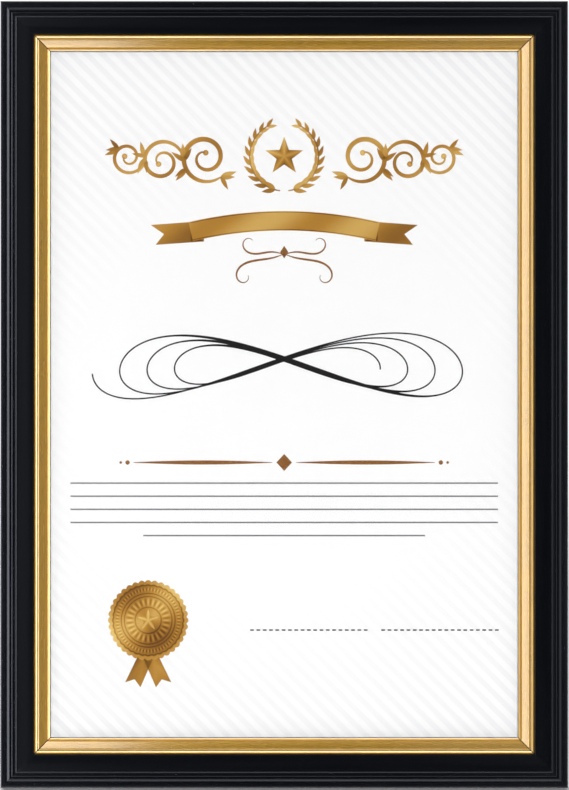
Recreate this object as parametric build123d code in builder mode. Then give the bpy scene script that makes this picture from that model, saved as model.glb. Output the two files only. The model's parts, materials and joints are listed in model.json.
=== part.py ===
from build123d import *
import os
from math import cos, radians, sin

# A certificate frame that stands on a table and leans back on its easel strut.
# X runs along the bottom rail, Y to the back and Z up. The table is Z = 0, and the origin is
# on it, midway between the ends, and midway between the front of the frame and the strut's foot.
# Lengths are in millimetres and angles in degrees.

# How it stands
lean_angle = 14
open_angle = 24
hinge_height = 195

# What it holds
sheet_width = 210
sheet_height = 297
sheet_thickness = 0.25
pane_extra_height = 3
glass_thickness = 2
board_thickness = 3
board_recess = 0.3
rebate_play = 0.75

# Black moulding: its back outside the rebate, and the lip of it that covers the slip's flange.
# The features of its face run from the outer edge inwards. Rises are above the pack, and drops
# are from the top.
moulding_back_width = 10.7
moulding_lip_width = 2.75
moulding_rise = 9.45
inner_edge_rise = 5.45
edge_round = 0.5
band_width = 2.05
quirk_width = 0.42
quirk_drop = 0.9
outer_bead_width = 1.28
outer_bead_rise = 0.6
step_width = 0.45
inner_bead_width = 0.75
inner_bead_rise = 0.35
inner_bead_drop = 1.7
channel_width = 1.15
channel_drop = 2.5
ridge_width = 0.5
ridge_drop = 2.0
ridge_rise = 0.15
scoop_sag = 0.75
inner_edge_round = 0.35

# Gilt slip, from the moulding inwards, with rises above its underside
slip_width = 7.0
slip_flange_thickness = 2.3
slip_fit = 0.05
slip_shoulder_width = 0.5
slip_shoulder_rise = 3.3
slip_bead_width = 0.8
slip_bead_base_rise = 3.9
slip_bead_rise = 0.35
slip_slope_width = 0.95
slip_crest_width = 0.4
slip_crest_base_rise = 5.0
slip_crest_rise = 0.12
slip_cove_width = 3.15
slip_cove_end_rise = 2.2
slip_cove_sag = 0.55
slip_lip_rise = 0.35
slip_lip_fall = 0.3

# Corner wedges, bent from strip and driven into the back of each mitre
wedge_leg = 4.5
wedge_thickness = 0.5
wedge_depth = 7
wedge_fit = 0.05
wedge_inset_shares = (0.38, 0.8)

# Turn buttons that hold the back board in, with their screws
button_thickness = 1.0
button_radius = 5
button_tip_radius = 3.5
button_overlap = 7.3
button_gap = 0.15
button_hole_fit = 0.1
button_inset_across = 44.45
button_inset_up = 73.45
pivot_inset_share = 0.6
screw_head_radius = 2.8
screw_head_height = 1.6
screw_radius = 1.3
screw_length = 7.5
pilot_fit = 0.05

# Sawtooth hangers and their nails
hanger_length = 46
hanger_width = 8
hanger_thickness = 0.8
hanger_pad_length = 8
hanger_ramp_length = 2.5
hanger_lift = 1.4
tooth_pitch = 3
tooth_depth = 1.9
nail_head_radius = 1.8
nail_head_height = 0.7
nail_radius = 0.7
nail_length = 8
nail_fit = 0.05

# Strut hinge, of two leaves rolled round one pin
leaf_thickness = 0.8
pin_radius = 1.1
pin_fit = 0.05
pin_overhang = 0.4
hinge_width = 34
middle_knuckle_width = 18
knuckle_gap = 0.3
leaf_length = 16
leaf_corner_radius = 2
strut_leaf_width = 30
stop_width = 6
stop_gap = 0.1
rivet_radius = 1.2
rivet_fit = 0.05
rivet_head_radius = 2.6
rivet_head_height = 1.1
rivet_flange_radius = 2.2
rivet_flange_thickness = 0.3
rivet_edge_inset = 6

# Strut
strut_thickness = 2.5
strut_top_width = 42
strut_foot_width = 72
strut_top_gap = 0.6
strut_corner_radius = 4
foot_arch_radius = 14

overrun = 1

# Flats on the shanks of screws, nails and rivets, and on their holes in rails and boards, which
# nothing shows
shank_sides = 8

# Sizes that follow
pane_width = sheet_width
pane_height = sheet_height + pane_extra_height
outer_width = pane_width + 2 * (rebate_play + moulding_back_width)
outer_height = pane_height + 2 * (rebate_play + moulding_back_width)
moulding_width = moulding_back_width + moulding_lip_width
pack_depth = board_recess + board_thickness + sheet_thickness + glass_thickness
moulding_depth = pack_depth + moulding_rise
inner_edge_depth = pack_depth + inner_edge_rise
ledge_depth = pack_depth + slip_flange_thickness + slip_fit
pivot_inset = pivot_inset_share * moulding_back_width
button_offset_across = outer_width / 2 - button_inset_across
button_offset_up = outer_height / 2 - button_inset_up
knuckle_bore = pin_radius + pin_fit
knuckle_radius = knuckle_bore + leaf_thickness
strut_top_drop = knuckle_radius + strut_top_gap
board_rivet_rise = leaf_length - rivet_edge_inset
board_rivet_reach = hinge_width / 2 - rivet_edge_inset
strut_rivet_reach = strut_leaf_width / 2 - rivet_edge_inset

# The strut's foot, seen from the side: its distance below the pin along the strut, and behind
# the frame's rear bottom edge, which is what the other places are measured from.
lean = radians(lean_angle)
rake = radians(open_angle - lean_angle)
pin_setback = knuckle_radius - board_recess
pin_level = hinge_height * cos(lean) - pin_setback * sin(lean)
strut_length = pin_level / cos(rake)
pin_reach = hinge_height * sin(lean) + pin_setback * cos(lean)
foot_reach = pin_reach + strut_length * sin(rake) + knuckle_bore * cos(rake)
front_reach = moulding_depth * cos(lean)

# Planes. On each of them z points out of the back. The back plane's x runs to the right of
# someone behind the frame, and its y runs up the frame from the rear bottom edge.
back = Plane(
    origin=(0, (front_reach - foot_reach) / 2, 0),
    x_dir=(-1, 0, 0),
    z_dir=(0, cos(lean), -sin(lean)),
)
middle = Plane(back * Location((0, outer_height / 2)))
hinge = Plane(back * Location((0, hinge_height, pin_setback)))
strut_plane = Plane(hinge * Location((0, 0), (-open_angle, 0, 0)))

# Each side's turn on the back plane, then its distance from the middle and its length
turn_angles = {"bottom": 0, "left": 90, "top": 180, "right": 270}
sides = {
    "bottom": (outer_height / 2, outer_width),
    "left": (outer_width / 2, outer_height),
    "top": (outer_height / 2, outer_width),
    "right": (outer_width / 2, outer_height),
}


def side_plane(side):
    """The back of one side: x along it, and y inwards from its outer edge."""
    reach, _ = sides[side]
    turned = Plane(middle * Location((0, 0), (0, 0, turn_angles[side])))
    return Plane(turned * Location((0, -reach)))


def across(plane):
    """The plane that cuts a hinge or strut lengthwise: x up, y out of the back."""
    return Plane(origin=plane.origin, x_dir=plane.y_dir, z_dir=plane.x_dir)


def finish(part, name):
    """Label a finished part and write it."""
    part.label = name
    export_step(part, f"parts/{name}.step")


def bead(start, width, rise):
    """A round bead, or a hollow where the rise is negative, on a level base."""
    return SagittaArc(start, start + Vector(width, 0), rise)


def moulding_outline():
    """Section of the black moulding: x inwards from the outer edge, y to the front."""
    top = moulding_depth
    wall = Line((0, 0), (0, top - edge_round))
    corner = TangentArc(wall @ 1, (edge_round, top), tangent=(0, 1))
    quirk_end = band_width + quirk_width
    quirk = Polyline(
        corner @ 1, (band_width, top), (band_width, top - quirk_drop), (quirk_end, top - quirk_drop)
    )
    outer_bead = bead(quirk @ 1, outer_bead_width, outer_bead_rise)
    step_start = quirk_end + outer_bead_width
    step_end = step_start + step_width
    step = Polyline(
        outer_bead @ 1, (step_start, top - inner_bead_drop), (step_end, top - inner_bead_drop)
    )
    inner_bead = bead(step @ 1, inner_bead_width, inner_bead_rise)
    channel_start = step_end + inner_bead_width
    ridge_start = channel_start + channel_width
    channel = Polyline(
        inner_bead @ 1,
        (channel_start, top - channel_drop),
        (ridge_start, top - channel_drop),
        (ridge_start, top - ridge_drop),
    )
    ridge = bead(channel @ 1, ridge_width, ridge_rise)
    scoop_start = ridge_start + ridge_width
    drop = Line(ridge @ 1, (scoop_start, top - channel_drop))
    scoop_end = (moulding_width - inner_edge_round, inner_edge_depth)
    scoop = SagittaArc(drop @ 1, scoop_end, -scoop_sag)
    nose = TangentArc(
        scoop @ 1, (moulding_width, inner_edge_depth - inner_edge_round), tangent=(1, 0)
    )
    Polyline(
        nose @ 1,
        (moulding_width, ledge_depth),
        (moulding_back_width, ledge_depth),
        (moulding_back_width, 0),
        wall @ 0,
    )


def slip_outline():
    """Section of the gilt slip: x inwards from the frame's outer edge, y to the front."""
    outer = moulding_width
    inner = moulding_width + slip_width
    under = pack_depth
    flange_edge = moulding_back_width + slip_fit
    bead_start = outer + slip_shoulder_width
    slope_start = bead_start + slip_bead_width
    crest_start = slope_start + slip_slope_width
    cove_start = crest_start + slip_crest_width
    cove_end = cove_start + slip_cove_width
    shoulder = Polyline(
        (flange_edge, under),
        (flange_edge, under + slip_flange_thickness),
        (outer, under + slip_flange_thickness),
        (outer, under + slip_shoulder_rise),
        (bead_start, under + slip_shoulder_rise),
        (bead_start, under + slip_bead_base_rise),
    )
    outer_bead = bead(shoulder @ 1, slip_bead_width, slip_bead_rise)
    slope = Line(outer_bead @ 1, (crest_start, under + slip_crest_base_rise))
    crest = bead(slope @ 1, slip_crest_width, slip_crest_rise)
    cove = SagittaArc(crest @ 1, (cove_end, under + slip_cove_end_rise), -slip_cove_sag)
    lip_low = under + slip_cove_end_rise - slip_lip_fall
    lip = SagittaArc(cove @ 1, (inner, lip_low), slip_lip_rise)
    Polyline(lip @ 1, (inner, under), (flange_edge, under))


def mitre(side):
    """Cut both ends of the bar in hand at 45 degrees, where it meets its neighbours."""
    plane = side_plane(side)
    _, length = sides[side]
    for end in (-1, 1):
        corner = plane.from_local_coords(Vector(end * length / 2, 0))
        outwards = plane.x_dir * end + plane.y_dir
        split(bisect_by=Plane(origin=corner, z_dir=outwards), keep=Keep.BOTTOM)


def bar(side):
    """Carry the pending section along one side, to the length of its outer edge, and mitre it."""
    _, length = sides[side]
    extrude(amount=length / 2, both=True)
    mitre(side)


def section_plane(side):
    """The section of one side: x inwards from its outer edge, y to the front."""
    plane = side_plane(side)
    return Plane(origin=plane.origin, x_dir=plane.y_dir, z_dir=-plane.x_dir)


corner_planes = [
    Plane(side_plane(side) * Location((-length / 2, 0))) for side, (_, length) in sides.items()
]


def wedge_outlines(grow):
    """Two nested angles at a corner, with their legs along the two rails."""
    for share in wedge_inset_shares:
        inset = share * moulding_back_width - grow
        leg = wedge_leg + 2 * grow
        thickness = wedge_thickness + 2 * grow
        with Locations((inset, inset)):
            Rectangle(leg, thickness, align=Align.MIN)
            Rectangle(thickness, leg, align=Align.MIN)


def on_sides(places, inset):
    """Locations on the back of the rails, each given as a side and a place along it."""
    return [side_plane(side) * Location((along, inset)) for side, along in places]


def pilot_holes(places, radius, depth):
    """Cut a blind hole at each place on the back of the rail in hand."""
    with BuildSketch(*[Plane(place) for place in places]) as outlines:
        RegularPolygon(radius, shank_sides)
    extrude(outlines.sketch, amount=-depth, mode=Mode.SUBTRACT)


button_sides = [("bottom", button_offset_across), ("left", button_offset_up)]
button_sides += [("top", button_offset_across), ("right", button_offset_up)]
button_places = on_sides(
    [(side, end * along) for side, along in button_sides for end in (-1, 1)], pivot_inset
)

hanger_sides = {"hanger_portrait": "top", "hanger_landscape": "left"}
hanger_places = {
    name: side_plane(side) * Location((0, moulding_back_width / 2))
    for name, side in hanger_sides.items()
}
nail_reach = (hanger_length - hanger_pad_length) / 2
nail_places = [
    place * Location((end * nail_reach, 0)) for place in hanger_places.values() for end in (-1, 1)
]

os.makedirs("parts", exist_ok=True)

# Rails of black moulding, with the pockets for wedges, screws and nails in their backs
for side in sides:
    with BuildPart() as rail:
        with BuildSketch(section_plane(side)):
            with BuildLine():
                moulding_outline()
            make_face()
        bar(side)
        with BuildSketch(*corner_planes):
            wedge_outlines(wedge_fit)
        extrude(amount=-wedge_depth - wedge_fit, mode=Mode.SUBTRACT)
        pilot_holes(button_places, screw_radius + pilot_fit, screw_length)
        pilot_holes(nail_places, nail_radius + nail_fit, nail_length)
    finish(rail.part, f"rail_{side}")

# Gilt slips, whose flanges lie under the lips of the rails, with the glass behind them
for side in sides:
    with BuildPart() as slip:
        with BuildSketch(section_plane(side)):
            with BuildLine():
                slip_outline()
            make_face()
        bar(side)
    finish(slip.part, f"gilt_slip_{side}")

# Corner wedges, flush with the back
with BuildPart() as wedges:
    with BuildSketch(*corner_planes):
        wedge_outlines(0)
    extrude(amount=-wedge_depth)
finish(wedges.part, "corner_wedges")

# The pack: glass against the slips, the certificate behind it, and the back board
glass_face = -pack_depth
sheet_face = glass_face + glass_thickness
board_face = sheet_face + sheet_thickness
rivet_places = [(end * board_rivet_reach, board_rivet_rise) for end in (-1, 1)]

with BuildPart() as glass:
    with BuildSketch(middle.offset(glass_face)):
        Rectangle(pane_width, pane_height)
    extrude(amount=glass_thickness)
finish(glass.part, "glazing")

with BuildPart() as sheet:
    with BuildSketch(middle.offset(sheet_face)):
        Rectangle(sheet_width, sheet_height)
    extrude(amount=sheet_thickness)
finish(sheet.part, "certificate")

with BuildPart() as board:
    with BuildSketch(middle.offset(board_face)):
        Rectangle(pane_width, pane_height)
    extrude(amount=board_thickness)
    with BuildSketch(hinge.offset(-knuckle_radius)):
        with Locations(*rivet_places):
            RegularPolygon(rivet_radius + rivet_fit, shank_sides)
    extrude(amount=-board_thickness, mode=Mode.SUBTRACT)
finish(board.part, "back_board")


def discs(plane, places, radius, height):
    """Add a disc or a rod at each place on a plane."""
    with BuildSketch(plane) as outlines:
        with Locations(*places):
            Circle(radius)
    extrude(outlines.sketch, amount=height)


def shanks(plane, places, radius, length):
    """Add a shank at each place on a plane, with the flats of its pilot hole."""
    with BuildSketch(plane) as outlines:
        with Locations(*places):
            RegularPolygon(radius, shank_sides)
    extrude(outlines.sketch, amount=-length)


def rivets(plane, places, head_seat, far_face):
    """Rivets with a round head on the leaf, and a shank that ends at the far face."""
    shanks(plane.offset(head_seat), places, rivet_radius, head_seat - far_face)
    discs(plane.offset(head_seat), places, rivet_head_radius, rivet_head_height)


# The board's leaf: two outer knuckles, and a plate that lies on the board above the pin
with BuildPart() as board_leaf:
    with BuildSketch(hinge.offset(-knuckle_radius)):
        with Locations((0, leaf_length / 2)):
            RectangleRounded(hinge_width, leaf_length, leaf_corner_radius)
        Rectangle(hinge_width, leaf_length / 2, align=(Align.CENTER, Align.MIN))
    extrude(amount=leaf_thickness)
    with BuildSketch(across(hinge)):
        Circle(knuckle_radius)
    extrude(amount=hinge_width / 2, both=True)
    with BuildSketch(across(hinge)):
        Circle(knuckle_bore)
    extrude(amount=hinge_width / 2 + overrun, both=True, mode=Mode.SUBTRACT)
    with BuildSketch(hinge):
        window_depth = 2 * (knuckle_radius + knuckle_gap)
        Rectangle(middle_knuckle_width + 2 * knuckle_gap, window_depth)
    extrude(amount=knuckle_radius + overrun, both=True, mode=Mode.SUBTRACT)
    with BuildSketch(hinge.offset(-knuckle_radius)):
        with Locations(*rivet_places):
            Circle(rivet_radius + rivet_fit)
    extrude(amount=leaf_thickness, mode=Mode.SUBTRACT)
finish(board_leaf.part, "hinge_board_leaf")

# The strut's leaf: a middle knuckle in two curls, a plate on the back of the strut below the
# pin, and between the curls a tongue that lands on the board's leaf and stops the strut.
stop_length = (knuckle_bore * (1 + cos(radians(open_angle))) - stop_gap) / sin(radians(open_angle))
strut_rivet_places = [(end * strut_rivet_reach, -board_rivet_rise) for end in (-1, 1)]
plate_length = leaf_length - strut_top_drop
with BuildPart() as strut_leaf:
    with BuildSketch(across(strut_plane)):
        Circle(knuckle_radius)
        Circle(knuckle_bore, mode=Mode.SUBTRACT)
    extrude(amount=middle_knuckle_width / 2, both=True)
    with BuildSketch(strut_plane.offset(knuckle_bore)):
        with Locations((0, -strut_top_drop - plate_length / 2)):
            RectangleRounded(strut_leaf_width, plate_length, leaf_corner_radius)
        with Locations((0, -leaf_length / 2)):
            Rectangle(middle_knuckle_width, leaf_length)
    extrude(amount=leaf_thickness)
    with BuildSketch(strut_plane):
        Rectangle(stop_width + 2 * knuckle_gap, window_depth)
    extrude(amount=knuckle_radius + overrun, both=True, mode=Mode.SUBTRACT)
    with BuildSketch(strut_plane.offset(knuckle_bore)):
        with Locations((0, stop_length)):
            Rectangle(stop_width, stop_length + strut_top_drop, align=(Align.CENTER, Align.MAX))
    extrude(amount=leaf_thickness)
    with BuildSketch(strut_plane.offset(knuckle_bore)):
        with Locations(*strut_rivet_places):
            Circle(rivet_radius + rivet_fit)
    extrude(amount=leaf_thickness, mode=Mode.SUBTRACT)
finish(strut_leaf.part, "hinge_strut_leaf")

with BuildPart() as pin:
    with BuildSketch(across(hinge)):
        Circle(pin_radius)
    extrude(amount=hinge_width / 2 + pin_overhang, both=True)
finish(pin.part, "hinge_pin")

with BuildPart() as board_rivets:
    rivets(hinge, rivet_places, -knuckle_bore, -knuckle_radius - board_thickness)
finish(board_rivets.part, "hinge_board_rivets")

with BuildPart() as strut_rivets:
    strut_front = knuckle_bore - strut_thickness
    rivets(strut_plane, strut_rivet_places, knuckle_radius, strut_front)
    tails = strut_plane.offset(strut_front)
    discs(tails, strut_rivet_places, rivet_flange_radius, -rivet_flange_thickness)
finish(strut_rivets.part, "hinge_strut_rivets")

# The strut: wider at its foot, which the table cuts level, with an arch between two feet
with BuildPart() as strut:
    with BuildSketch(strut_plane.offset(knuckle_bore - strut_thickness)) as strut_outline:
        with BuildLine():
            foot = -strut_length - strut_thickness
            Polyline(
                (-strut_foot_width / 2, foot),
                (-strut_top_width / 2, -strut_top_drop),
                (strut_top_width / 2, -strut_top_drop),
                (strut_foot_width / 2, foot),
                close=True,
            )
        make_face()
        fillet(strut_outline.vertices().group_by(Axis.Y)[-1], strut_corner_radius)
        with Locations((0, -strut_length)):
            Circle(foot_arch_radius, mode=Mode.SUBTRACT)
        with Locations(*strut_rivet_places):
            RegularPolygon(rivet_radius + rivet_fit, shank_sides, mode=Mode.SUBTRACT)
    extrude(amount=strut_thickness)
    split(bisect_by=Plane.XY, keep=Keep.TOP)
finish(strut.part, "strut")

# Turn buttons: each lies over the edge of the back board and turns on a screw in the rail
edge_of_board = moulding_back_width + rebate_play
button_reach = edge_of_board + button_overlap - pivot_inset - button_tip_radius
for number, place in enumerate(button_places, start=1):
    with BuildPart() as button:
        with BuildSketch(Plane(place).offset(button_gap)) as button_outline:
            Circle(button_radius)
            with Locations((0, button_reach)):
                Circle(button_tip_radius)
            make_hull(button_outline.edges())
            Circle(screw_radius + button_hole_fit, mode=Mode.SUBTRACT)
        extrude(amount=button_thickness)
    finish(button.part, f"turn_button_{number}")

with BuildPart() as screws:
    head_seat = button_gap + button_thickness + button_gap
    places = [back.location.inverse() * place for place in button_places]
    shanks(back.offset(head_seat), places, screw_radius, head_seat + screw_length - pilot_fit)
    discs(back.offset(head_seat), places, screw_head_radius, screw_head_height)
finish(screws.part, "turn_button_screws")

# Sawtooth hangers: strips that are bent up between two nailed pads, with teeth on the edge
# that faces the middle of the frame, so that a nail in the wall seats in one of them
lift_start = hanger_length / 2 - hanger_pad_length
lift_end = lift_start - hanger_ramp_length
tooth_count = int(2 * lift_end / tooth_pitch)
for name, place in hanger_places.items():
    plane = Plane(place)
    with BuildPart() as hanger:
        with BuildSketch(Plane(origin=plane.origin, x_dir=plane.x_dir, z_dir=plane.y_dir)):
            with BuildLine():
                crown = -hanger_lift
                half_strip = Polyline(
                    (0, crown),
                    (lift_end, crown),
                    (lift_start, 0),
                    (hanger_length / 2, 0),
                    (hanger_length / 2, -hanger_thickness),
                    (lift_start, -hanger_thickness),
                    (lift_end, crown - hanger_thickness),
                    (0, crown - hanger_thickness),
                )
                mirror(half_strip, about=Plane.YZ)
            make_face()
        extrude(amount=hanger_width / 2, both=True)
        with BuildSketch(plane):
            with Locations((0, hanger_width / 2)):
                with GridLocations(tooth_pitch, 0, tooth_count, 1):
                    Polygon(
                        (-tooth_pitch / 2, 0), (0, -tooth_depth), (tooth_pitch / 2, 0), align=None
                    )
        extrude(amount=hanger_lift + hanger_thickness + overrun, mode=Mode.SUBTRACT)
        with Locations(*nail_places):
            Hole(nail_radius + nail_fit)
    finish(hanger.part, name)

with BuildPart() as nails:
    places = [back.location.inverse() * place for place in nail_places]
    shank_length = hanger_thickness + nail_length - nail_fit
    shanks(back.offset(hanger_thickness), places, nail_radius, shank_length)
    discs(back.offset(hanger_thickness), places, nail_head_radius, nail_head_height)
finish(nails.part, "hanger_nails")
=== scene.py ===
import json
import math
from functools import partial

import bpy
import numpy as np
from mathutils import Matrix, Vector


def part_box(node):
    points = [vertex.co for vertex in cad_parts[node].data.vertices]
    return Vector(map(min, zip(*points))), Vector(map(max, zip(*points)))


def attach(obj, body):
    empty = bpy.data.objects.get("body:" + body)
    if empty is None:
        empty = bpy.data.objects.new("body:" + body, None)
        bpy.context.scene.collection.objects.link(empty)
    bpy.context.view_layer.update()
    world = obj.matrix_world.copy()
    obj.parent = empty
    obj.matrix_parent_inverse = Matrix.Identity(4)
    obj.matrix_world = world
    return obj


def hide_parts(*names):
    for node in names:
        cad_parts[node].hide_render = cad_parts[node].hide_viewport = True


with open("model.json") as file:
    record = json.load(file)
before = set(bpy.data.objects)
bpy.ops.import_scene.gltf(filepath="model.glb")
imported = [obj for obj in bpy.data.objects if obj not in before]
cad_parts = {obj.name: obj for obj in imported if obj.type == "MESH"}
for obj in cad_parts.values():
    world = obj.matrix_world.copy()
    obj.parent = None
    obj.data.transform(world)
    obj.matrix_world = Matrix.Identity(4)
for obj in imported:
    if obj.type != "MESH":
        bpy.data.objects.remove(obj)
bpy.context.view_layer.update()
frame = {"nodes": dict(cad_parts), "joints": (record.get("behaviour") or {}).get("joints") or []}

bl_info = {
    "name": "Certificate frame",
    "version": (1, 0, 0),
    "blender": (4, 5, 0),
    "location": "3D View > Sidebar > Certificate frame",
    "description": "Dresses a certificate frame: mouldings, glazing, print and back hardware",
    "category": "Object",
}

MM = 0.001
SENSOR = 36.0  # millimetres
STRIP = 0.6  # length of the long softboxes, in metres
SUNK, CLIMB = -0.01, 0.008  # foot of the printed shapes, and how far a stroke climbs, in mm
JOINTS = {joint["name"]: joint for joint in frame["joints"]}
SIDE_TURNS = {"bottom": 0.0, "right": 0.5 * math.pi, "top": math.pi, "left": 1.5 * math.pi}


def linear(code):
    """An sRGB hex colour as linear red, green, blue and alpha."""
    value = np.array([int(code[i : i + 2], 16) for i in (1, 3, 5)]) / 255
    value = np.where(value <= 0.04045, value / 12.92, ((value + 0.055) / 1.055) ** 2.4)
    return (*value.tolist(), 1.0)


def mm(value, description):
    """A length that a user can change, given in millimetres and held in metres."""
    return bpy.props.FloatProperty(
        description=description, default=value * MM, unit="LENGTH", precision=6
    )


def colour(code, description):
    """A colour that a user can change."""
    return bpy.props.FloatVectorProperty(
        description=description, default=linear(code), size=4, subtype="COLOR", min=0, max=1
    )


def light(value, description):
    """A strength of light, where 1 is plain white."""
    return bpy.props.FloatProperty(description=description, default=value, min=0)


def named(group):
    """Gives each setting of a group its own name, in words."""
    for name, setting in group.__annotations__.items():
        setting.keywords["name"] = name.replace("_", " ").capitalize()
    return group


# Settings


@named
class StanceSettings(bpy.types.PropertyGroup):
    """Where the frame stands, and its overall size."""

    lean: bpy.props.FloatProperty(
        description="How far it leans back", default=math.radians(14), subtype="ANGLE"
    )
    rear_edge: mm(-34.3229, "Y of the rear bottom edge, on the table")
    width: mm(232.9, "Outer width of the moulding")
    height: mm(322.9, "Outer height of the moulding")


@named
class MouldingSettings(bpy.types.PropertyGroup):
    """Section of the black moulding, from its outer edge inwards. Levels are above the back."""

    depth: mm(15, "Level of the outer band")
    edge_round: mm(0.5, "Radius of the outer arris")
    band_end: mm(2.05, "Where the outer band ends")
    quirk_level: mm(14.1, "Floor of the groove beside the outer bead")
    bead_start: mm(2.47, "Where the outer bead starts")
    bead_end: mm(3.75, "Where the outer bead ends")
    bead_low: mm(14.25, "Level of the outer bead's outer edge")
    bead_high: mm(14.6, "Level of its inner edge, so that it tips outwards")
    bead_rise: mm(0.06, "How far the outer bead is rounded")
    step_end: mm(4.2, "Where the step before the inner bead ends")
    inner_bead_end: mm(4.95, "Where the inner bead ends")
    inner_bead_level: mm(13.3, "Floor before the inner bead")
    inner_bead_low: mm(13.42, "Level of the inner bead's outer edge")
    inner_bead_high: mm(13.64, "Level of its inner edge")
    inner_bead_rise: mm(0.055, "How far the inner bead is rounded")
    channel_end: mm(6.1, "Where the channel ends")
    channel_level: mm(12.5, "Floor of the channel")
    ridge_end: mm(6.6, "Where the thin ridge ends")
    ridge_low: mm(12.95, "Level of the ridge's outer edge")
    ridge_high: mm(13.1, "Level of the ridge's inner edge")
    ridge_rise: mm(0.045, "How far the ridge is rounded")
    scoop_sag: mm(0.25, "How deep the wide scoop is below its chord")
    inner_level: mm(11.0, "Level of the inner edge")
    inner_round: mm(0.35, "Radius of the inner arris")
    width: mm(13.45, "Width of the face")
    ledge_level: mm(7.9, "Underside of the lip over the slip")
    wall: mm(10.7, "Width of the back, outside the rebate")
    back_inset: mm(0.03, "The back lies this far in, so wedges stand proud of it")
    arris: mm(0.09, "How far sharp corners are eased")
    seam: mm(0.03, "Gap along each mitre")


@named
class SlipSettings(bpy.types.PropertyGroup):
    """Section of the gilt slip. Places are from the frame's outer edge, levels from the back."""

    flange_edge: mm(10.75, "Outer edge of the flange under the moulding")
    under: mm(5.55, "Level of the glass that it lies on")
    flange_level: mm(7.85, "Top of the flange")
    shoulder_start: mm(13.45, "Where the shoulder rises beside the moulding")
    shoulder_level: mm(8.85, "Level of the shoulder")
    bead_start: mm(13.7, "Where the outer bead starts")
    bead_low: mm(9.88, "Level of the bead's outer edge")
    bead_high: mm(10.5, "Level of its inner edge, so that it tips outwards")
    bead_end: mm(14.9, "Where the outer bead ends")
    bead_rise: mm(0.03, "How far the bead is rounded")
    quirk_start: mm(15.0, "Where the groove beside the bead starts")
    quirk_end: mm(15.2, "Where the groove beside the bead ends")
    quirk_level: mm(9.85, "Floor of that groove")
    crest_start: mm(15.3, "Where the crest starts")
    crest_end: mm(15.95, "Where the crest ends")
    crest_level: mm(10.4, "Level of the crest")
    crest_rise: mm(0.08, "How far the crest is rounded")
    cove_end: mm(19.1, "Where the cove meets the lip")
    cove_level: mm(7.5, "Level of the cove's inner end")
    cove_sag: mm(0.04, "How deep the cove is below its chord")
    lip_rise: mm(0.04, "How far the lip is rounded")
    lip_end: mm(20.12, "Where the lip ends and its cut edge starts")
    lip_level: mm(8.1, "Level of the lip's inner edge")
    sight_edge: mm(20.35, "Where the slip ends")
    sight_level: mm(7.75, "Level where the cut edge turns down to the glass")
    arris: mm(0.06, "How far sharp corners are eased")
    seam: mm(0.03, "Gap along each mitre")


@named
class SheetSettings(bpy.types.PropertyGroup):
    """The printed certificate behind the glass."""

    width: mm(210, "Width of the sheet")
    height: mm(297, "Height of the sheet")
    back_level: mm(3.31, "Level of the sheet's back")
    face_level: mm(3.5, "Level of the sheet's face")


@named
class HardwareSettings(bpy.types.PropertyGroup):
    """Turn buttons, screws, nails and rivets on the back."""

    button_radius: mm(5, "Round end over the screw")
    button_tip: mm(3.5, "Round end over the back board")
    button_reach: mm(8.83, "From the screw to the middle of the tip")
    button_bottom: mm(0.15, "Its gap over the moulding's back")
    button_top: mm(1.15, "Its outer face over the moulding's back")
    button_hole: mm(1.4, "Radius of its hole")
    button_round: mm(0.3, "Rounding of its stamped edge")
    screw_head: mm(2.8, "Radius of the pan head")
    screw_seat: mm(1.3, "Underside of the head over the moulding's back")
    screw_crown: mm(2.9, "Top of the head over the moulding's back")
    screw_shank: mm(1.3, "Radius of the shank")
    screw_depth: mm(7.4, "How deep the shank goes")
    nail_head: mm(1.8, "Radius of the nail's head")
    nail_seat: mm(0.8, "Underside of the nail's head over the moulding's back")
    nail_crown: mm(1.5, "Top of the nail's head over the moulding's back")
    nail_shank: mm(0.7, "Radius of the nail's shank")
    nail_depth: mm(7.9, "How deep the nail goes")
    nail_reach: mm(19, "From the middle of a hanger to each of its nails")
    rivet_head: mm(2.6, "Radius of the rivet's head")
    rivet_height: mm(1.1, "Height of the rivet's head")
    rivet_shank: mm(1.2, "Radius of the rivet's shank")
    rivet_tail: mm(2.2, "Radius of the rivet's clenched tail")
    rivet_tail_height: mm(0.3, "Height of the clenched tail")
    board_rivet_across: mm(11, "Rivets in the board, from the middle")
    strut_rivet_across: mm(9, "Rivets in the strut, from the middle")
    rivet_along: mm(10, "Rivets, from the hinge pin")
    knuckle_bore: mm(1.15, "Radius inside the hinge's knuckles")
    knuckle: mm(1.95, "Radius outside the hinge's knuckles")
    board_thickness: mm(3, "Thickness of the back board")
    strut_thickness: mm(2.5, "Thickness of the strut")


@named
class FinishSettings(bpy.types.PropertyGroup):
    """Colours of the finishes."""

    foil: colour("#06080B", "Printed foil wrapped round the moulding")
    foil_light: colour("#0E1014", "Paler streaks of the foil")
    foil_tint: colour("#E9EDFF", "Cool tint of its highlights")
    # The core colour is also painted on the slips as shade, in the gap beside the moulding and on
    # the cut edge at the sight
    core: colour("#121214", "Foamed core where the back is bare")
    gilt: colour("#DCA922", "Hot-stamped gold foil")
    gilt_deep: colour("#C0901A", "Toned streaks of the gold foil")
    paper: colour("#FCFCFC", "Smooth white card")
    stripe: colour("#F0F0F2", "Pale stripes printed on the card")
    board: colour("#0F0F11", "Black paper on the fibreboard")
    board_core: colour("#6E563E", "Raw edge of the fibreboard")
    zinc: colour("#BCBEC0", "Bright zinc plate")
    steel: colour("#BDBDC0", "Plain bright steel")


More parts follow.
